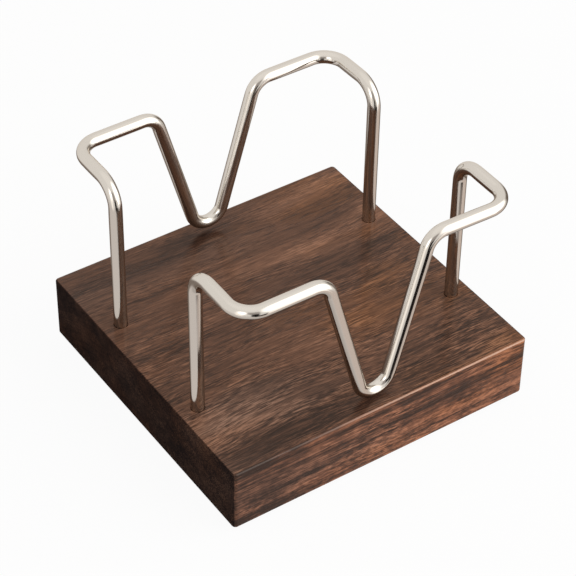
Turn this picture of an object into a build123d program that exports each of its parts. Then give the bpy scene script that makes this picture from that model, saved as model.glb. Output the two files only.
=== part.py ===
from build123d import *
import math
import os

# A holder for a desk: a solid walnut block, two bent wire rails that fence in the
# space above it, each standing in two sockets, and four grip pads underneath.
#
# Millimetres, +Z up. The origin is the centre of the surface that the holder rests on.
# The grain of the block runs along X, and the front rail stands on the -Y side.

# Wood block
block_length = 100.0     # along the grain
block_width = 97.0       # across the grain
block_thickness = 20.5
corner_radius = 1.2      # the four upright corners, seen from above
edge_round = 0.5         # the edges round the top and the bottom

# Sockets drilled in the top of the block for the legs of the rails
socket_floor = 8.5       # wood left below each socket
socket_clearance = 0.05  # gap all round the leg
socket_chamfer = 0.1     # broken edge at the mouth

# Wire rails. Bend radii and heights are those of the wire's axis.
wire_diameter = 4.0
wire_end_chamfer = 0.4
rail_inset = 5.6         # edge of the block to the plane of the rail
leg_inset = 6.2          # end of the block to the axis of the leg
rail_height = 49.3       # top of the block to the level runs
return_run = 8.2         # straight stretch from the leg bend to the corner bend
leg_bend = 7.0           # from the upright leg into the level return
corner_bend = 7.0        # level bend from the return into the long side
shoulder_bend = 6.0      # from the long side down into the vee
vee_bend = 5.3           # at the foot of the vee
vee_half_width = 17.2    # middle of the rail to where the sloping side meets the level run
vee_gap = 0.5            # foot of the vee to the top of the block

# Grip pads under the block
pad_diameter = 10.0
pad_thickness = 1.5
pad_inset = 12.0         # sides of the block to the centre of the pad
pad_edge_round = 0.3

# Places that follow from the sizes above
wire_radius = wire_diameter / 2
block_bottom = pad_thickness
block_top = block_bottom + block_thickness
socket_depth = block_thickness - socket_floor
socket_radius = wire_radius + socket_clearance
leg_x = block_length / 2 - leg_inset
rail_y = block_width / 2 - rail_inset
leg_y = rail_y - corner_bend - return_run - leg_bend
leg_foot_z = block_top - socket_depth
rail_z = block_top + rail_height
pad_x = block_length / 2 - pad_inset
pad_y = block_width / 2 - pad_inset

# The sloping sides touch the arc at the foot of the vee, so their lines meet below it.
# Seen from the shoulder, the side leans away from the arc's centre by asin(bend / reach).
vee_centre_z = block_top + vee_gap + wire_radius + vee_bend
vee_drop = rail_z - vee_centre_z
vee_reach = math.hypot(vee_half_width, vee_drop)
vee_slope = math.atan2(vee_half_width, vee_drop) - math.asin(vee_bend / vee_reach)
vee_apex_z = rail_z - vee_half_width / math.tan(vee_slope)


def rail_corners(side):
    """Corners of the wire's axis before bending, from the left foot to the right foot.

    side is -1 for the front rail and 1 for the rear rail.
    """
    left_half = [
        (-leg_x, side * leg_y, leg_foot_z),
        (-leg_x, side * leg_y, rail_z),
        (-leg_x, side * rail_y, rail_z),
        (-vee_half_width, side * rail_y, rail_z),
    ]
    right_half = [(-x, y, z) for x, y, z in reversed(left_half)]
    return left_half + [(0.0, side * rail_y, vee_apex_z)] + right_half


rail_bends = [leg_bend, corner_bend, shoulder_bend, vee_bend, shoulder_bend, corner_bend, leg_bend]

os.makedirs("parts", exist_ok=True)

# Wood block, with a blind socket for each leg
with BuildPart() as wood_block:
    with BuildSketch(Plane.XY.offset(block_bottom)):
        RectangleRounded(block_length, block_width, corner_radius)
    extrude(amount=block_thickness)
    flat_faces = wood_block.faces().filter_by(Axis.Z)
    fillet(flat_faces.edges(), radius=edge_round)
    with Locations((0, 0, block_top)):
        with GridLocations(2 * leg_x, 2 * leg_y, 2, 2):
            CounterSinkHole(
                radius=socket_radius,
                counter_sink_radius=socket_radius + socket_chamfer,
                depth=socket_depth,
                counter_sink_angle=90,
            )
wood_block.part.label = "wood_block"
export_step(wood_block.part, "parts/wood_block.step")

# Wire rails: one length of round wire each, standing in two of the sockets
for rail_name, side in (("front_wire_rail", -1), ("rear_wire_rail", 1)):
    with BuildPart() as wire_rail:
        with BuildLine():
            wire_axis = FilletPolyline(*rail_corners(side), radius=rail_bends)
        with BuildSketch(Plane(origin=wire_axis @ 0, z_dir=wire_axis % 0)):
            Circle(wire_radius)
        sweep(path=wire_axis)
        foot_edges = wire_rail.edges().filter_by(GeomType.CIRCLE).group_by(Axis.Z)[0]
        chamfer(foot_edges, length=wire_end_chamfer)
    wire_rail.part.label = rail_name
    export_step(wire_rail.part, f"parts/{rail_name}.step")
    section_area = math.pi * wire_radius**2
    print(rail_name, "length of wire", round(wire_axis.length, 2))
    print(rail_name, "volume over area", round(wire_rail.part.volume / section_area, 2))

# Grip pads: thin discs stuck under the corners of the block
for row_name, row in (("front", -1), ("rear", 1)):
    for end_name, end in (("left", -1), ("right", 1)):
        with BuildPart() as grip_pad:
            with BuildSketch(Plane.XY):
                with Locations((end * pad_x, row * pad_y)):
                    Circle(pad_diameter / 2)
            extrude(amount=pad_thickness)
            rim_edges = grip_pad.edges().group_by(Axis.Z)[0]
            fillet(rim_edges, radius=pad_edge_round)
        pad_name = f"grip_pad_{row_name}_{end_name}"
        grip_pad.part.label = pad_name
        export_step(grip_pad.part, f"parts/{pad_name}.step")
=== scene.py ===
# %% [markdown] # A desk holder of walnut and bent wire  The real object stands on a desk. A solid
# walnut block carries two rails of polished wire that fence in the space above it, and four grip pads
# sit under the block. The sizes come from a CAD model. It is loaded first, as a fixed frame, and is
# never moved or changed. Blender adds what the CAD leaves out: grain and lacquer, plating, and the
# small irregularities of work done by hand. Everything is in metres, with the origin in the middle of
# the surface it rests on.

# %% Load the frame
import math

import bpy
import numpy as np
from mathutils import Matrix, Vector


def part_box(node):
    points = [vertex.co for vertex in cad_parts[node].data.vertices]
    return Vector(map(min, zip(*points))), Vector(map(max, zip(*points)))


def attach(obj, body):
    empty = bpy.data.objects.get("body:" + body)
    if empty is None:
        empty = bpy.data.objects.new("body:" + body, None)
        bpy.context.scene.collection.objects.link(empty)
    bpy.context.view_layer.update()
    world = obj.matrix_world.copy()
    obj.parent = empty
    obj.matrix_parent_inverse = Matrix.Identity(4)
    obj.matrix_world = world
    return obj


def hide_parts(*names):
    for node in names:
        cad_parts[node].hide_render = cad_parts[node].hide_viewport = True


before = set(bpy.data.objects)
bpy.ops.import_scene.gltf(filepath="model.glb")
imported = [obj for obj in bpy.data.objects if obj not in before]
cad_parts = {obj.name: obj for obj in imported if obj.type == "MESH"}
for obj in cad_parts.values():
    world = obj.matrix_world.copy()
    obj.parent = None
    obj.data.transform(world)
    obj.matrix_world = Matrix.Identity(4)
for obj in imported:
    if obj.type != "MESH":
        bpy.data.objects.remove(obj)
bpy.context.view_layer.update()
mm = 0.001

# %% [markdown]
# ## Camera
#
# The picture to match was taken with a long lens from above the front left corner. The camera could be
# aimed by eye, but its place was worked out from the block's corners, because a few degrees of error
# already bend every line of the wire. A camera looks along its own -Z axis, so its matrix has the
# right, up and back directions as columns. The last small turn is the roll: nobody holds a camera
# perfectly level.

# %% Camera
camera_azimuth = math.radians(-34.624)
camera_elevation = math.radians(40.819)
camera_roll = math.radians(0.891)
camera_distance = 0.65931
slide_right = 0.00043
slide_up = 0.02140
look_at = Vector((0.0, 0.0, 0.0015))
sensor_width_mm = 36.0
focal_length_mm = 139.11

level_right = Vector((math.cos(camera_azimuth), math.sin(camera_azimuth), 0.0))
back = Vector((
    math.sin(camera_azimuth) * math.cos(camera_elevation),
    -math.cos(camera_azimuth) * math.cos(camera_elevation),
    math.sin(camera_elevation),
))
level_up = back.cross(level_right)
right = math.cos(camera_roll) * level_right + math.sin(camera_roll) * level_up
up = math.cos(camera_roll) * level_up - math.sin(camera_roll) * level_right

camera = bpy.data.objects.new("camera", bpy.data.cameras.new("camera"))
camera.data.sensor_width = sensor_width_mm
camera.data.lens = focal_length_mm
camera.data.clip_start = 0.01
camera.data.clip_end = 50.0
turn = Matrix((right, up, back)).transposed().to_4x4()
place = look_at + camera_distance * back + slide_right * right + slide_up * up
camera.matrix_world = Matrix.Translation(place) @ turn
bpy.context.scene.collection.objects.link(camera)
bpy.context.scene.camera = camera
print("camera stands", round(place.length, 3), "m from the origin")

# %% [markdown]
# ## Shader maths as Python maths
#
# A material is a graph of nodes. Adding each Math node by hand hides the formula, so a small class
# wraps a node's output socket and overloads the operators: `1 - mask * 0.5` then adds its own nodes.
# The reflected forms, such as `__rsub__`, are for a plain number on the left.

# %% A field: one value at every point
class Field:
    """The output socket of a node: one value at every point of the surface."""

    def __init__(self, paint, socket):
        self.paint = paint
        self.socket = socket

    def math(self, operation, *values):
        return self.paint.node("ShaderNodeMath", {"operation": operation}, dict(enumerate(values)))

    def __add__(self, other):
        return self.math("ADD", self, other)

    def __sub__(self, other):
        return self.math("SUBTRACT", self, other)

    def __rsub__(self, other):
        return self.math("SUBTRACT", other, self)

    def __mul__(self, other):
        return self.math("MULTIPLY", self, other)

    def __truediv__(self, other):
        return self.math("DIVIDE", self, other)

    def __pow__(self, power):
        return self.math("POWER", self, power)

    def __abs__(self):
        return self.math("ABSOLUTE", self)

    __radd__ = __add__
    __rmul__ = __mul__

    def larger(self, other):
        return self.math("MAXIMUM", self, other)

    def smaller(self, other):
        return self.math("MINIMUM", self, other)

    def rise(self, start, end):
        """0 before start, 1 after end, and an S-shaped rise in between. start may lie after end."""
        settings = {"interpolation_type": "SMOOTHSTEP"}
        sockets = {"Value": self, "From Min": start, "From Max": end}
        return self.paint.node("ShaderNodeMapRange", settings, sockets)


operators = ("__add__", "__sub__", "__mul__", "__truediv__", "__pow__", "__abs__")
print("operators that add a Math node:", sum(name in vars(Field) for name in operators))

# %% [markdown]
# Every other kind of node comes from one method that takes the node's type, its settings and what goes
# into its sockets. A few kinds are used so often that they get a short name of their own.

# %% Paint: a node tree
class Paint:
    """A node tree, with one method that adds a node and joins it up."""

    def __init__(self, tree):
        self.tree = tree
        self.tree.nodes.clear()

    def node(self, kind, settings, sockets, output=0):
        made = self.tree.nodes.new(kind)
        for name, value in settings.items():
            if name == "stops":
                self.set_stops(made.color_ramp, value)
            else:
                setattr(made, name, value)
        for key, value in sockets.items():
            if isinstance(value, Field):
                self.tree.links.new(value.socket, made.inputs[key])
            else:
                made.inputs[key].default_value = value
        return Field(self, made.outputs[output]) if made.outputs else None

    def set_stops(self, ramp, stops):
        while len(ramp.elements) < len(stops):
            ramp.elements.new(0.5)
        for element, (position, colour) in zip(ramp.elements, stops):
            element.position = position
            element.color = (*colour, 1.0)

    def mix(self, amount, first, second):
        """The first colour where amount is 0, the second where it is 1."""
        sockets = {0: amount, 6: first, 7: second}
        return self.node("ShaderNodeMix", {"data_type": "RGBA"}, sockets, 2)

    def noise(self, vector, detail, roughness=0.5):
        """Soft random clouds around 0.5, each about one unit of the vector across."""
        sockets = {"Vector": vector, "Scale": 1.0, "Detail": detail, "Roughness": roughness}
        return self.node("ShaderNodeTexNoise", {}, sockets)

    def combine(self, x, y, z):
        return self.node("ShaderNodeCombineXYZ", {}, {"X": x, "Y": y, "Z": z})

    def split(self, vector):
        """The x, y and z of a vector as three fields."""
        parts = self.node("ShaderNodeSeparateXYZ", {}, {"Vector": vector})
        outputs = parts.socket.node.outputs
        return tuple(Field(self, outputs[axis]) for axis in ("X", "Y", "Z"))

    def length(self, vector):
        return self.node("ShaderNodeVectorMath", {"operation": "LENGTH"}, {0: vector}, "Value")

    def tinted(self, colour, red, green, blue):
        """A colour with its red, green and blue each multiplied by a factor."""
        sockets = {0: colour, 1: (red, green, blue)}
        return self.node("ShaderNodeVectorMath", {"operation": "MULTIPLY"}, sockets, "Vector")

    def place_in_mm(self):
        """The x, y and z of each point of the piece, in millimetres."""
        metres = self.node("ShaderNodeTexCoord", {}, {}, "Object")
        sockets = {"Vector": metres, "Scale": (1000.0, 1000.0, 1000.0)}
        return self.split(self.node("ShaderNodeMapping", {}, sockets))

    def finish(self, kind, surface):
        """Joins the last shader to the output node. kind is Material, World or Light."""
        self.node("ShaderNodeOutput" + kind, {}, {"Surface": surface})


def new_paint(name):
    """A material with an empty node tree, and the paint that fills it."""
    material = bpy.data.materials.new(name)
    material.use_nodes = True
    return material, Paint(material.node_tree)


print("short names for nodes:", [name for name in vars(Paint) if not name.startswith("__")])

# %% [markdown]
# ## Floor and world
#
# A small shiny object is photographed in a tent of soft light: a pale table, pale walls and one or two
# large soft boxes. Polished wire has no colour of its own to speak of, it shows this room.
#
# A pale background could be made with more lamps, but then the object would turn too bright. Here the
# floor and the world have a white of their own for rays that look at them, and a plain level for rays
# that carry their light to the object. Near the object a small part of what the camera sees is still
# the lit table, so that the soft shadow shows. The level of world and lamps is one at which a colour
# renders about as it is written.

# %% Stage: the floor
def stage_sheet(name, points, faces):
    """A sheet that marks itself as part of the stage, not of the object."""
    mesh = bpy.data.meshes.new(name)
    mesh.from_pydata(points, [], faces)
    made = bpy.data.objects.new(name, mesh)
    bpy.context.scene.collection.objects.link(made)
    return made


def seen_directly(paint):
    """1 for rays that show the surface itself or its mirror image, 0 for those that carry its light."""
    rays = paint.node("ShaderNodeLightPath", {}, {})
    outputs = rays.socket.node.outputs
    kinds = ("Is Camera Ray", "Is Glossy Ray", "Is Transmission Ray")
    camera_ray, glossy_ray, transmission_ray = (Field(paint, outputs[kind]) for kind in kinds)
    return camera_ray.larger(glossy_ray).larger(transmission_ray)


floor_half = 6.0
floor_corners = [
    (-floor_half, -floor_half, 0.0),
    (floor_half, -floor_half, 0.0),
    (floor_half, floor_half, 0.0),
    (-floor_half, floor_half, 0.0),
]
floor = stage_sheet("floor", floor_corners, [(0, 1, 2, 3)])
floor_material, paint = new_paint("pale_table")
matte = paint.node("ShaderNodeBsdfDiffuse", {}, {"Color": (0.90, 0.895, 0.885, 1.0)})
white = paint.node("ShaderNodeEmission", {}, {"Color": (1.0, 1.0, 1.0, 1.0), "Strength": 1.0})
from_object = paint.length(paint.node("ShaderNodeTexCoord", {}, {}, "Object"))
white_nearby = 0.94
own_light = white_nearby + from_object.rise(0.4, 2.5) * (1.0 - white_nearby)
table = paint.node("ShaderNodeMixShader", {}, {0: seen_directly(paint) * own_light, 1: matte, 2: white})
paint.finish("Material", table)
floor.data.materials.append(floor_material)
floor.visible_glossy = False
print("floor", 2 * floor_half, "m wide")

# %% [markdown]
# The world is the soft light that comes from all round, from the walls and the ceiling of the tent. It
# is a little warm where it falls on the object and pure white where the camera looks past the floor.

# %% Stage: the world
world = bpy.data.worlds.new("soft_room")
world.use_nodes = True
bpy.context.scene.world = world
paint = Paint(world.node_tree)
room_level = 0.50
warm_white = (1.0, 0.985, 0.965, 1.0)
pure_white = (1.0, 1.0, 1.0, 1.0)
seen = seen_directly(paint)
tint = paint.mix(seen, warm_white, pure_white)
brightness = room_level + (1.0 - room_level) * seen
paint.finish("World", paint.node("ShaderNodeBackground", {}, {"Color": tint, "Strength": brightness}))
print("room level", room_level)

# %% [markdown]
# ## Soft boxes
#
# A real soft box is brightest in the middle, in front of its bulb, and fades towards its rim. A plain
# area lamp is the same everywhere and cuts a hard white bar into polished metal. The Parametric output
# tells each point of the lamp where on the lamp it lies, and that is enough to make it fade.

# %% Soft boxes
def outward(azimuth, elevation):
    """The direction from the object towards a place in the room. Azimuth 0 is +Y and 90 is +X."""
    a = math.radians(azimuth)
    e = math.radians(elevation)
    return Vector((math.sin(a) * math.cos(e), math.cos(a) * math.cos(e), math.sin(e)))


def soft_box(name, azimuth, elevation, distance, width, height, core, fade):
    """An area lamp that faces the object.

    Its radiance is core * (1 - r)^fade, with r from 0 in the middle to 1 at the rim. A lamp of area A
    that gives off pi * A watts shines with radiance 1, which the fade multiplies.
    """
    lamp = bpy.data.lights.new(name, "AREA")
    lamp.shape = "RECTANGLE"
    lamp.size = width
    lamp.size_y = height
    lamp.energy = math.pi * width * height
    lamp.use_nodes = True
    paint = Paint(lamp.node_tree)
    place = paint.node("ShaderNodeNewGeometry", {}, {}, "Parametric")
    across, upward, _ = paint.split(place)
    off_centre = ((across * 2 - 1) ** 2 + (upward * 2 - 1) ** 2) ** 0.5
    level = (1 - off_centre.smaller(1.0)) ** fade * core
    paint.finish("Light", paint.node("ShaderNodeEmission", {}, {"Strength": level}))
    made = bpy.data.objects.new(name, lamp)
    towards = outward(azimuth, elevation)
    made.rotation_mode = "QUATERNION"
    made.rotation_quaternion = towards.to_track_quat("Z", "Y")
    made.location = towards * distance + middle_of_object
    bpy.context.scene.collection.objects.link(made)
    made.visible_camera = False
    print(name, "covers", round(math.degrees(2 * math.atan(width / 2 / distance))), "degrees of the room")


middle_of_object = Vector((0.0, 0.0, 0.03))
soft_box("soft_box_right", 135.0, 24.0, distance=1.2, width=2.03, height=2.27, core=3.8, fade=1.0)
soft_box("soft_box_left", -123.0, 20.0, distance=1.2, width=0.9, height=1.3, core=4.5, fade=2.0)

# %% [markdown]
# ## What the metal mirrors
#
# Polished metal needs something to mirror, or it looks like grey paint. On a real set that is the
# table top, the lamps, the unlit side of the room and the camera on its stand. Each could be a card of
# its own, but cards have edges, and the metal shows every one of them. Here it is one large bowl that
# is seen only in mirror images, and the floor is hidden from those. A far bowl looks the same from every
# point of a straight wire, so its zones turn into soft bands that run along the wire.
#
# The bowl is a grid of directions: a place on it is radius * (sin a cos e, cos a cos e, sin e), with
# the azimuth a and the elevation e.

# %% Room bowl: its shape
def grid_faces(rows, columns, closed):
    """The four-cornered faces of a grid of points that are numbered row by row.

    In a closed grid the last column joins the first.
    """
    faces_in_row = columns if closed else columns - 1
    row, column = np.meshgrid(np.arange(rows - 1), np.arange(faces_in_row), indexing="ij")
    after = (column + 1) % columns
    this_row = row * columns
    next_row = this_row + columns
    corners = [this_row + column, this_row + after, next_row + after, next_row + column]
    return np.stack(corners, -1).reshape(-1, 4)


bowl_radius = 3.0
azimuth, elevation = np.meshgrid(np.linspace(-180, 180, 181), np.linspace(-90, 90, 181))
a = np.radians(azimuth)
e = np.radians(elevation)
directions = np.stack([np.sin(a) * np.cos(e), np.cos(a) * np.cos(e), np.sin(e)], -1)
bowl_points = bowl_radius * directions.reshape(-1, 3)
bowl_faces = grid_faces(*azimuth.shape, closed=False)
bowl = stage_sheet("room_bowl", bowl_points.tolist(), bowl_faces.tolist())
print("room bowl points:", len(bowl_points))

# %% [markdown]
# The bowl is painted in zones: a sector of azimuths times a band of elevations, each with a soft
# border, laid over one another in turn. The colours are worked out at every point of the grid and
# stored in the mesh as a colour attribute, which the material reads.

# %% Room bowl: its zones
def smooth_rise(value, start, end):
    """0 before start, 1 after end, and the S-shaped curve 3 t^2 - 2 t^3 in between."""
    t = np.clip((value - start) / (end - start), 0, 1)
    return t * t * (3 - 2 * t)


def sector(middle, half, soft):
    """1 within half degrees of the middle azimuth and 0 beyond, with a soft border."""
    away = np.abs((azimuth - middle + 180) % 360 - 180)
    return 1 - smooth_rise(away, half - soft, half + soft)


def band(low, high, soft):
    """1 between two elevations and 0 beyond, with soft borders."""
    above = smooth_rise(elevation, low - soft, low + soft)
    below = 1 - smooth_rise(elevation, high - soft, high + soft)
    return above * below


underfoot = -100.0  # past straight down, so that a band from here has hardly any lower border
dark_stand = sector(180.0, 20.0, 4.0) * band(-37.0, -18.0, 4.0)
dark_camera = sector(-163.0, 12.0, 3.0) * band(-30.0, 9.0, 4.0)
wall_colour = (1.22, 1.20, 1.175)
zones = [
    ("ceiling", smooth_rise(elevation, 42.0, 66.0), (1.34, 1.32, 1.29)),
    ("table", band(underfoot, -20.0, 10.0), (0.97, 0.92, 0.90)),
    ("table close by", band(underfoot, -55.0, 8.0), (0.74, 0.70, 0.68)),
    ("table on the right", sector(138.0, 46.0, 7.0) * band(-53.0, -20.0, 8.0), (0.96, 0.84, 0.78)),
    ("table at the back", sector(-5.0, 38.0, 12.0) * band(underfoot, -22.0, 6.0), (0.34, 0.29, 0.26)),
    ("unlit side", sector(76.0, 18.0, 7.0) * band(underfoot, 14.0, 12.0), (0.24, 0.20, 0.17)),
    ("behind the right lamp", sector(135.0, 26.0, 14.0) * band(-4.0, 52.0, 14.0), (0.75, 0.74, 0.72)),
    ("pool of light", sector(149.0, 9.0, 4.0) * band(-31.0, 5.0, 5.0), (2.10, 2.05, 2.00)),
    ("glow on the left", sector(-114.0, 11.0, 5.0) * band(-26.0, 10.0, 6.0), (1.75, 1.68, 1.60)),
    ("above the camera", sector(-157.0, 20.0, 3.0) * band(6.0, 38.0, 6.0), (0.56, 0.52, 0.50)),
    ("camera and stand", np.maximum(dark_stand, dark_camera), (0.010, 0.008, 0.007)),
]
bowl_colour = np.zeros(azimuth.shape + (3,)) + wall_colour
for zone_name, amount, colour in zones:
    bowl_colour = bowl_colour + amount[..., None] * (np.array(colour) - bowl_colour)
    print(zone_name, "covers", round(100 * float(amount.mean()), 1), "% of the grid")

# %% [markdown]
# The bowl gives off its colour as plain emission. Only glossy rays may see it, so it lights nothing
# and the camera looks straight through it.

# %% Room bowl: its material
with_alpha = np.concatenate([bowl_colour, np.ones(azimuth.shape + (1,))], -1).astype(np.float32)
bowl.data.color_attributes.new("bowl_colour", "FLOAT_COLOR", "POINT")
bowl.data.color_attributes["bowl_colour"].data.foreach_set("color", with_alpha.ravel())
bowl_material, paint = new_paint("room_bowl")
own_colour = paint.node("ShaderNodeAttribute", {"attribute_name": "bowl_colour"}, {}, "Color")
paint.finish("Material", paint.node("ShaderNodeEmission", {}, {"Color": own_colour, "Strength": 1.0}))
bowl.data.materials.append(bowl_material)
for ray in ("camera", "diffuse", "transmission", "volume_scatter", "shadow"):
    setattr(bowl, "visible_" + ray, False)
print("mean colour of the bowl:", bowl_colour.mean((0, 1)).round(2))

# %% [markdown]
# ## Walnut
#
# The block is one piece of walnut with the grain along X. Wood is a solid texture: the pattern on the
# top, on a side and on an end all come from the same rings, cut in different directions. A picture
# wrapped round the block could not do that, so the colour is worked out from the place inside the
# block, in millimetres, with every pattern stretched along X.
#
# A growth ring is a circle round the pith, the middle of the trunk, which lies below this block. The
# drift and the ripple bend the circles, because no tree is round. The other patterns are noises of
# several sizes, from the broad bands down to the fibres.

# %% Walnut: place, growth rings and fibres
walnut, paint = new_paint("walnut")
x, y, z = paint.place_in_mm()
end_x, side_y, top_z = (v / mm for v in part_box("wood_block")[1])

drift = paint.noise(paint.combine(x / 70, y / 34, z / 34), 1.0) - 0.5
ripple = paint.noise(paint.combine(x / 13, y / 7 + 7.3, z / 7), 0.0) - 0.5
v = y + drift * 8 + ripple * 0.6
w = z + drift * 4 + ripple * 0.5
from_pith = ((v - 6) ** 2 + (w + 58) ** 2) ** 0.5
rings = paint.noise(paint.combine(x / 120, from_pith / 1.5, 0.0), 2.0, 0.6)
bands = paint.noise(paint.combine(x / 40, v / 3.0, w / 3.0), 2.0, 0.6) - 0.5
strands = paint.noise(paint.combine(x / 22, v / 0.85, w / 0.85), 2.0, 0.6) - 0.5
fibres = paint.noise(paint.combine(x / 5.5, v / 0.40, w / 0.40), 2.0, 0.8) - 0.5
liveliness = paint.noise(paint.combine(x / 26 + 1.7, v / 6, w / 6), 1.0).rise(0.36, 0.64) * 0.9 + 0.55
figure = paint.noise(paint.combine(x / 6, y / 20 + 4.1, z / 8), 2.0) - 0.5
long_lines = paint.noise(paint.combine(x / 80 + 2.0, y / 9, w / 1.0), 2.0, 0.6) - 0.5
flecks = paint.noise(paint.combine(x / 2.2, y / 4, z / 0.9), 2.0, 0.6) - 0.5
print("nodes so far:", len(paint.tree.nodes))

# %% [markdown]
# The heartwood has dark and pale streaks. Noise could place them anywhere, so each is given in a list: a
# long soft ellipsoid inside the block, which makes the wood round it darker or paler. The tone gathers
# all patterns into one number, 0 for the darkest wood and 1 for the palest. The front face of this
# block has longer lines and more figure than the top, and side_cut, which is 1 on that face alone, adds
# them there. The back keeps the plain pattern.
# Two of the streaks are not in the wood: one is a painted shadow beside the foot of the rear vee, and one
# is painted light round the foot of the rear right leg.

# %% Walnut: streaks and tone
streaks_and_painted_light = [
    # x, y, z, half length, half width, half depth, all in mm, and the tone it adds
    (-25.0, 41.0, 20.0, 42.0, 8.0, 9.0, -0.24),
    # painted shadow beside the foot of the rear vee
    (-6.0, 44.0, 22.0, 14.0, 4.0, 6.0, -0.22),
    (10.0, 22.0, 22.0, 34.0, 5.0, 8.0, 0.12),
    (28.0, 9.0, 20.0, 26.0, 8.0, 8.0, -0.18),
    (22.0, 19.5, 22.0, 15.0, 4.5, 5.0, 0.16),
    (-28.0, 2.0, 20.0, 30.0, 5.0, 6.0, -0.14),
    (6.0, -16.0, 22.0, 32.0, 8.0, 6.0, 0.16),
    (-42.0, -31.0, 22.0, 26.0, 8.0, 8.0, 0.24),
    (28.0, -35.0, 20.0, 32.0, 4.5, 5.0, -0.24),
    (-24.0, -43.0, 22.0, 34.0, 6.0, 5.0, -0.32),
    (44.0, -46.0, 22.0, 22.0, 4.0, 3.0, 0.16),
    # painted light round the foot of the rear right leg
    (47.0, 22.0, 22.0, 14.0, 8.0, 8.0, 0.30),
    (38.0, 43.0, 22.0, 26.0, 7.0, 8.0, 0.20),
    (20.0, -48.0, 13.6, 44.0, 6.0, 1.6, -0.24),
    (4.0, -48.0, 13.8, 13.0, 5.0, 0.9, -0.34),
    (36.0, -48.0, 14.4, 17.0, 5.0, 0.8, -0.34),
    (-10.0, -48.0, 12.4, 9.0, 5.0, 0.9, -0.28),
    (-40.0, -48.0, 20.7, 11.0, 5.0, 1.5, -0.45),
    (-38.0, -49.0, 6.0, 4.0, 4.0, 8.0, -0.20),
    (25.0, -49.0, 5.0, 55.0, 4.0, 5.0, 0.16),
    (22.0, -49.0, 17.8, 40.0, 3.0, 1.7, 0.26),
    (-7.0, -48.0, 19.0, 14.0, 5.0, 1.5, -0.36),
]
crispness = 0.9 + y.rise(35, -49) * 0.9
late_wood = rings.rise(0.50, 0.66)
side_cut = y.rise(0.9 - side_y, 0.2 - side_y)
tone = 0.54 + (rings - 0.5) * 0.35 - late_wood * (0.16 + side_cut * 0.30)
tone = tone + bands * (0.55 + side_cut * 0.60)
tone = tone + (strands * 0.46 + fibres * liveliness * 1.25) * (crispness - side_cut * 0.4)
upper_side = z.rise(7, 15)
side_tone = x.rise(-48, -5) * 0.15 - 0.14 + figure * 0.75
side_tone = side_tone + long_lines * (0.75 + upper_side * 0.60) + flecks * (1.3 - upper_side * 0.7)
tone = tone + side_cut * side_tone
for cx, cy, cz, half_length, half_width, half_depth, amount in streaks_and_painted_light:
    offset = paint.combine((x - cx) / half_length, (v - cy) / half_width, (w - cz) / half_depth)
    tone = tone + paint.length(offset).rise(1.25, 0.15) * amount
print("streaks in the heartwood:", len(streaks_and_painted_light))

# %% [markdown]
# Walnut has open pores: short dark grooves along the grain, here the cells of a Voronoi texture drawn
# out lengthwise. A ramp turns the tone into a colour. A few soft patches are greyer or more golden than
# the rest, and the front face is redder. Where the top meets the two long sides, a painted highlight
# makes the rounded edge paler towards the right, where the lamp on the right would catch it.

# %% Walnut: pores and colour
pore_cells = paint.combine(x / 5.0, v / 0.50, w / 0.50)
pore_distance = paint.node("ShaderNodeTexVoronoi", {}, {"Vector": pore_cells, "Scale": 1.0}, "Distance")
pore_zone = paint.noise(paint.combine(x / 22 + 5.0, v / 6, w / 6), 1.0).rise(0.38, 0.62)
pores = pore_distance.rise(0.44, 0.20) * (0.25 + pore_zone * 0.75)
end_grain = abs(x).rise(end_x - 0.55, end_x - 0.15)

# the tone, and so this colour, also holds the painted shadow and painted light of two streaks
heartwood = paint.node("ShaderNodeValToRGB", {"stops": [
    (0.00, (0.022, 0.0125, 0.0095)),
    (0.25, (0.052, 0.0262, 0.0180)),
    (0.50, (0.116, 0.0545, 0.0335)),
    (0.75, (0.205, 0.0960, 0.0565)),
    (1.00, (0.340, 0.1680, 0.1000)),
]}, {0: tone})
greyer = paint.tinted(heartwood, 0.94, 1.12, 1.32)
cool_patch = paint.noise(paint.combine(x / 70 + 3.1, y / 16, z / 16), 1.0).rise(0.40, 0.62)
heartwood = paint.mix(cool_patch * x.rise(25, -35) * 0.8, heartwood, greyer)
redder = paint.tinted(heartwood, 1.08, 0.92, 0.84)
heartwood = paint.mix(side_cut, heartwood, redder)
golden = paint.tinted(heartwood, 1.12, 1.02, 0.82)
warm_patch = paint.noise(paint.combine(x / 40 + 9.4, y / 14, z / 14), 1.0).rise(0.50, 0.66)
heartwood = paint.mix(warm_patch * x.rise(-20, 20), heartwood, golden)
pore_shadow = (0.016, 0.009, 0.007, 1.0)
pore_colour = paint.mix(0.72, heartwood, pore_shadow)
surface = paint.mix(pores * 0.90, heartwood, pore_colour)
rounded_edge = abs(y).rise(side_y - 0.5, side_y - 0.25) * z.rise(top_z - 0.55, top_z - 0.3)
# painted highlight: the rounded top edges turn paler and tan towards the right, where the lamp on the
# right would catch them
painted_edge_highlight = rounded_edge * x.rise(-30, 15) * (0.75 + long_lines)
painted_edge_highlight_colour = (0.46, 0.235, 0.140, 1.0)
surface = paint.mix(painted_edge_highlight, surface, painted_edge_highlight_colour)
# the sawn ends: darker end grain, darkened further to nearly black by painted shade
mottle = paint.noise(paint.combine(x / 30, y / 11, z / 8), 2.0) - 0.5
end_stain_and_shade = (0.006, 0.0062, 0.0075, 1.0)
end_colour_and_shade = paint.mix(0.76 + mottle * 0.5, surface, end_stain_and_shade)
print("nodes for the colour:", len(paint.tree.nodes))
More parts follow.
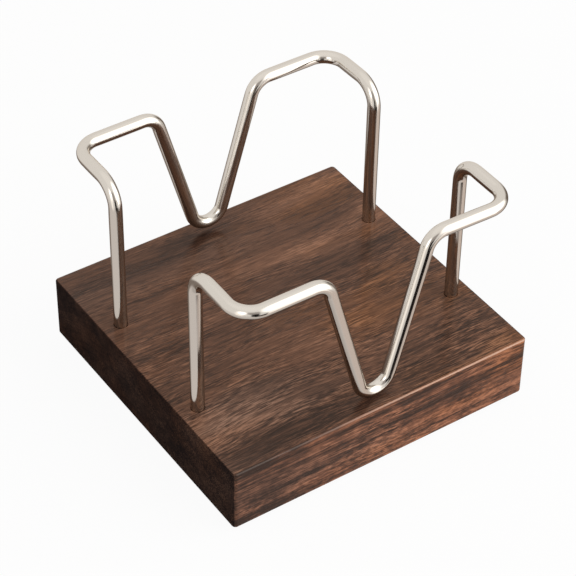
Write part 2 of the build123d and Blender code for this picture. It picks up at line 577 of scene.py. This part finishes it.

# %% [markdown]
# A satin lacquer lies over the long grain and fills the pores only in part, so they also roughen the
# shine and make a small relief. The sawn ends drink the lacquer up, so their wood is darker and has no
# shine, and painted shade darkens them further, to nearly black. The two finishes are two shaders, and
# a mask of the ends chooses between them.

# %% Walnut: lacquer and sawn ends
relief = strands * 0.2 + fibres * 0.2 - pores
bump = paint.node("ShaderNodeBump", {}, {"Height": relief, "Strength": 0.30, "Distance": 0.0001})
lacquered = paint.node("ShaderNodeBsdfPrincipled", {}, {
    "Base Color": surface,
    "Roughness": 0.17 + pores * 0.30,
    "Specular IOR Level": 0.20,
    "Specular Tint": (1.0, 0.66, 0.46, 1.0),
    "Coat Weight": rounded_edge * (0.45 + x.rise(-35, 10) * 0.5),
    "Coat Roughness": 0.12,
    "Normal": bump,
})
sawn = paint.node("ShaderNodeBsdfPrincipled", {}, {
    "Base Color": end_colour_and_shade,
    "Roughness": 0.60,
    "Specular IOR Level": 0.0,
    "Normal": bump,
})
wood = paint.node("ShaderNodeMixShader", {}, {0: end_grain, 1: lacquered, 2: sawn})
paint.finish("Material", wood)
print("walnut has", len(paint.tree.nodes), "nodes")

# %% [markdown]
# The block itself is the CAD solid as it is, with its rounded edges and its four sockets. Only its
# material is new.

# %% Walnut: the block
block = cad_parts["wood_block"]
block.data.materials.clear()
block.data.materials.append(walnut)

# %% [markdown]
# ## Wire rails
#
# Each rail is one length of 4 mm wire, bent seven times. It is a profile carried along a path: a
# circle that travels along the straight runs and round the bends. A curve object with a bevel would do
# too. Here a formula places every ring of points, so that the chamfered feet come out exactly, and so
# does the wire where it is bent: bending stretches it, which leaves it a little thinner there.
#
# The sizes are those of the CAD model, and the block's own box says where its top and its edges are.
# The straight sides of the vee touch the arc at its foot, so their lines meet below it, at the apex,
# and that is the corner the path is given.

# %% The wire's sizes
wire_radius = 2.0 * mm
socket_depth = 12.0 * mm
leg_inset = 6.2 * mm        # end of the block to the leg
rail_inset = 5.6 * mm       # side of the block to the long side of the rail
rail_height = 49.3 * mm     # top of the block to the level runs
return_run = 8.2 * mm       # straight stretch between the leg and the corner
vee_half_width = 17.2 * mm
vee_gap = 0.5 * mm          # top of the block to the foot of the vee
leg_bend = 7.0 * mm
corner_bend = 7.0 * mm
shoulder_bend = 6.0 * mm
vee_bend = 5.3 * mm

block_end, block_side, block_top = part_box("wood_block")[1]
foot_z = block_top - socket_depth
rail_z = block_top + rail_height
leg_x = block_end - leg_inset
rail_y = block_side - rail_inset
leg_y = rail_y - corner_bend - return_run - leg_bend
vee_centre_z = block_top + vee_gap + wire_radius + vee_bend
vee_drop = rail_z - vee_centre_z
vee_reach = math.hypot(vee_half_width, vee_drop)
vee_slope = math.atan2(vee_half_width, vee_drop) - math.asin(vee_bend / vee_reach)
vee_apex_z = rail_z - vee_half_width / math.tan(vee_slope)
print("the sides of the vee lean by", round(math.degrees(vee_slope), 1), "degrees")

# %% [markdown]
# Wire that is bent by hand over pegs never comes out quite as drawn, and no two rails are the same.
# Each corner is moved by a few tenths of a millimetre. Without that the rails look like a drawing.

# %% The wire's corners
def rail_corners(side, bending):
    """The corners of the wire's axis before bending. side is -1 for the front rail, 1 for the rear.

    bending moves the seven free corners by a few tenths of a millimetre. The feet stay in their sockets,
    up to a point just above the wood.
    """
    above_socket = block_top + 0.3 * mm
    left = [
        (-leg_x, side * leg_y, foot_z),
        (-leg_x, side * leg_y, above_socket),
        (-leg_x, side * leg_y, rail_z),
        (-leg_x, side * rail_y, rail_z),
        (-vee_half_width, side * rail_y, rail_z),
    ]
    middle = [(0.0, side * rail_y, vee_apex_z)]
    right = [(-px, py, pz) for px, py, pz in reversed(left)]
    corners = np.array(left + middle + right)
    corners[2:-2] += np.array(bending) * mm
    return corners


# how far each corner of each rail is off, in mm: leg, corner, shoulder, vee, shoulder, corner, leg
hand_bending = {
    "front_wire_rail": [
        (0.1, 0.5, -0.1), (-0.1, -0.3, -0.1), (-0.3, -0.5, -0.1), (-0.3, -0.3, -0.3),
        (-0.1, 0.6, -0.1), (0.1, -0.3, -0.1), (0.3, 0.3, -0.2),
    ],
    "rear_wire_rail": [
        (0.3, 0.3, -0.1), (0.3, 0.1, -0.1), (0.3, 0.5, -0.4), (0.1, 0.6, 0.6),
        (-0.6, -0.6, -0.1), (-0.3, -0.2, -0.5), (0.0, -0.2, -0.2),
    ],
}
foot_joint = 7.0 * mm  # just above the wood, where a leg may begin to lean by less than a degree
half_of_bends = [foot_joint, leg_bend, corner_bend, shoulder_bend]
rail_bends = half_of_bends + [vee_bend] + half_of_bends[::-1]
front_corners = rail_corners(-1, hand_bending["front_wire_rail"])
print("corners of a rail:", len(front_corners) - 2, " bends:", len(rail_bends))

# %% [markdown]
# The path runs straight towards each corner and rounds it with an arc. Along with every point it keeps
# the direction of travel and a side vector at right angles to it, which the circle needs later.

# %% The path of the wire
def unit(vector):
    return vector / np.linalg.norm(vector)


def bent_path(corners, radii, step):
    """Points, directions, side vectors and bend amount along straight runs joined by arcs.

    On a run: start + t * direction. In a bend of radius R about centre C, with the direction d and
    the inward normal n at its start: C - n R cos(turn) + d R sin(turn), where turn goes from 0 to
    the corner's angle. The side vector turns with the arc, so the tube never twists.
    """
    points, directions, sides, bends = [], [], [], []
    here = corners[0]
    direction = unit(corners[1] - corners[0])
    side = unit(np.cross(direction, (0.3, 1.0, 0.2)))

    def lay(new_points, new_directions, new_sides, bend):
        points.append(new_points)
        directions.append(new_directions)
        sides.append(new_sides)
        bends.append(np.full(len(new_points), bend))

    def lay_straight(start, end, t):
        rows = (len(t), 1)
        lay(start + t[:, None] * (end - start), np.tile(direction, rows), np.tile(side, rows), 0.0)

    for corner, following, radius in zip(corners[1:-1], corners[2:], radii):
        onward = unit(following - corner)
        angle = math.acos(np.clip(direction @ onward, -1, 1))
        setback = radius * math.tan(angle / 2)
        run_end = corner - direction * setback
        run_length = np.linalg.norm(run_end - here)
        lay_straight(here, run_end, np.linspace(0, 1, max(2, round(run_length / step)), endpoint=False))
        axis = unit(np.cross(direction, onward))
        inward = np.cross(axis, direction)
        turn = np.linspace(0, angle, round(2.5 * radius * angle / step), endpoint=False)[:, None]
        arc = run_end + inward * radius * (1 - np.cos(turn)) + direction * radius * np.sin(turn)
        arc_direction = direction * np.cos(turn) + inward * np.sin(turn)
        level = axis * (side @ axis)
        arc_side = level + (side - level) * np.cos(turn) + np.cross(axis, side) * np.sin(turn)
        lay(arc, arc_direction, arc_side, 1.0)
        here = run_end + inward * radius * (1 - math.cos(angle)) + direction * radius * math.sin(angle)
        side = level + (side - level) * math.cos(angle) + np.cross(axis, side) * math.sin(angle)
        direction = onward
    last_length = np.linalg.norm(corners[-1] - here)
    lay_straight(here, corners[-1], np.linspace(0, 1, round(last_length / step)))
    return tuple(np.concatenate(rows) for rows in (points, directions, sides, bends))


path = bent_path(front_corners, rail_bends, 1.0 * mm)[0]
wire_length = np.linalg.norm(np.diff(path, axis=0), axis=1).sum()
print("path points:", len(path), " length of wire in mm:", round(wire_length / mm, 2))

# %% [markdown]
# The tube itself is a grid: one row of points for each place on the path and one column for each
# angle round the wire. Both feet get a small chamfer and a closed end, as sawn and deburred wire has.

# %% The surface of the wire
def make_piece(name, points, faces, material):
    """A smooth mesh object at the origin that stands in the CAD frame."""
    mesh = bpy.data.meshes.new(name)
    mesh.from_pydata(points.tolist(), [], faces)
    mesh.polygons.foreach_set("use_smooth", np.ones(len(faces), bool))
    mesh.materials.append(material)
    made = bpy.data.objects.new(name, mesh)
    bpy.context.scene.collection.objects.link(made)
    return made


def bent_tube(corners, radii, radius, step, around, chamfer, thinning):
    """Points and faces of a wire: path + radius * (side * cos(angle) + other * sin(angle)).

    In a bend the radius is multiplied by 1 - thinning, so the wire is a little thinner there.
    """
    path, heading, sideways, bend = bent_path(corners, radii, step)
    window = np.hanning(9)  # lets the thinning begin and end over a few rows
    soft_bend = np.convolve(bend, window / window.sum(), "same")
    other = np.cross(heading, sideways)
    size = radius * (1 - thinning * soft_bend)
    first_rim = path[:1] + heading[:1] * chamfer
    last_rim = path[-1:] - heading[-1:] * chamfer
    path = np.concatenate([path[:1], first_rim, path[1:-1], last_rim, path[-1:]])
    size = np.concatenate([[radius - chamfer], [radius], size[1:-1], [radius], [radius - chamfer]])
    sideways = np.concatenate([sideways[:1], sideways, sideways[-1:]])
    other = np.concatenate([other[:1], other, other[-1:]])
    angle = np.linspace(0, 2 * math.pi, around, endpoint=False)
    ring = sideways[:, None] * np.cos(angle)[:, None] + other[:, None] * np.sin(angle)[:, None]
    points = (path[:, None] + size[:, None, None] * ring).reshape(-1, 3)
    rows = len(path)
    faces = grid_faces(rows, around, closed=True).tolist()

    # each end is closed by triangles from a point in its middle to its ring
    column = np.arange(around)
    after = (column + 1) % around
    first, last = len(points), len(points) + 1
    points = np.concatenate([points, path[:1], path[-1:]])
    end = (rows - 1) * around
    faces += np.stack([np.full(around, first), after, column], -1).tolist()
    faces += np.stack([np.full(around, last), end + column, end + after], -1).tolist()
    return points, faces


ring_spacing = 0.8 * mm
ring_points = 96
end_chamfer = 0.4 * mm
thinning = 0.02
print("a ring of", ring_points, "points every", round(ring_spacing / mm, 2), "mm")

# %% [markdown]
# ## Polished nickel
#
# The wire is plated and polished. Nickel mirrors a little more red than blue, which makes it warmer
# than chrome. A perfect mirror looks false, so the roughness drifts a little along the wire.

# %% Nickel
nickel, paint = new_paint("plated_wire")
x, y, z = paint.place_in_mm()
haze = paint.noise(paint.combine(x / 6, y / 6, z / 6), 3.0)
metal = paint.node("ShaderNodeBsdfPrincipled", {}, {
    "Base Color": (0.535, 0.500, 0.455, 1.0),
    "Metallic": 1.0,
    "Roughness": 0.10 + haze * 0.06,
    "Specular Tint": (0.80, 0.76, 0.72, 1.0),
})
paint.finish("Material", metal)
print("nickel has", len(paint.tree.nodes), "nodes")

# %% [markdown]
# Both rails are made by the same few lines. Each stands in for its CAD solid, which the helper then
# hides, and is fixed to the one body of the object.

# %% The two rails
for rail, side in (("front_wire_rail", -1), ("rear_wire_rail", 1)):
    corners = rail_corners(side, hand_bending[rail])
    points, faces = bent_tube(
        corners, rail_bends, wire_radius, ring_spacing, ring_points, end_chamfer, thinning
    )
    wire = make_piece("plated_" + rail, points, faces, nickel)
    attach(wire, "root")
    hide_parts(rail)
    print(wire.name, len(faces), "faces")

# %% [markdown]
# ## Grip pads
#
# Four thin discs of black foam rubber keep the block from sliding. They are the CAD solids too. Foam
# has no shine, only a fine grain, which a noise gives to its roughness and its bump.

# %% Grip pads
rubber, paint = new_paint("grip_pad")
metres = paint.node("ShaderNodeTexCoord", {}, {}, "Object")
grain = paint.node("ShaderNodeTexNoise", {}, {"Vector": metres, "Scale": 2500.0, "Detail": 2.0})
bump = paint.node("ShaderNodeBump", {}, {"Height": grain, "Strength": 0.5, "Distance": 0.00005})
pad_skin = paint.node("ShaderNodeBsdfPrincipled", {}, {
    "Base Color": (0.025, 0.025, 0.027, 1.0),
    "Roughness": 0.75 + (grain - 0.5) * 0.3,
    "Normal": bump,
})
paint.finish("Material", pad_skin)
pads = [node for name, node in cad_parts.items() if name.startswith("grip_pad")]
for pad in pads:
    pad.data.materials.clear()
    pad.data.materials.append(rubber)
print("grip pads:", len(pads))

# %% [markdown]
# ## View transform
#
# Standard is the view transform that leaves colours as they are.

# %% View transform
bpy.context.scene.view_settings.view_transform = "Standard"
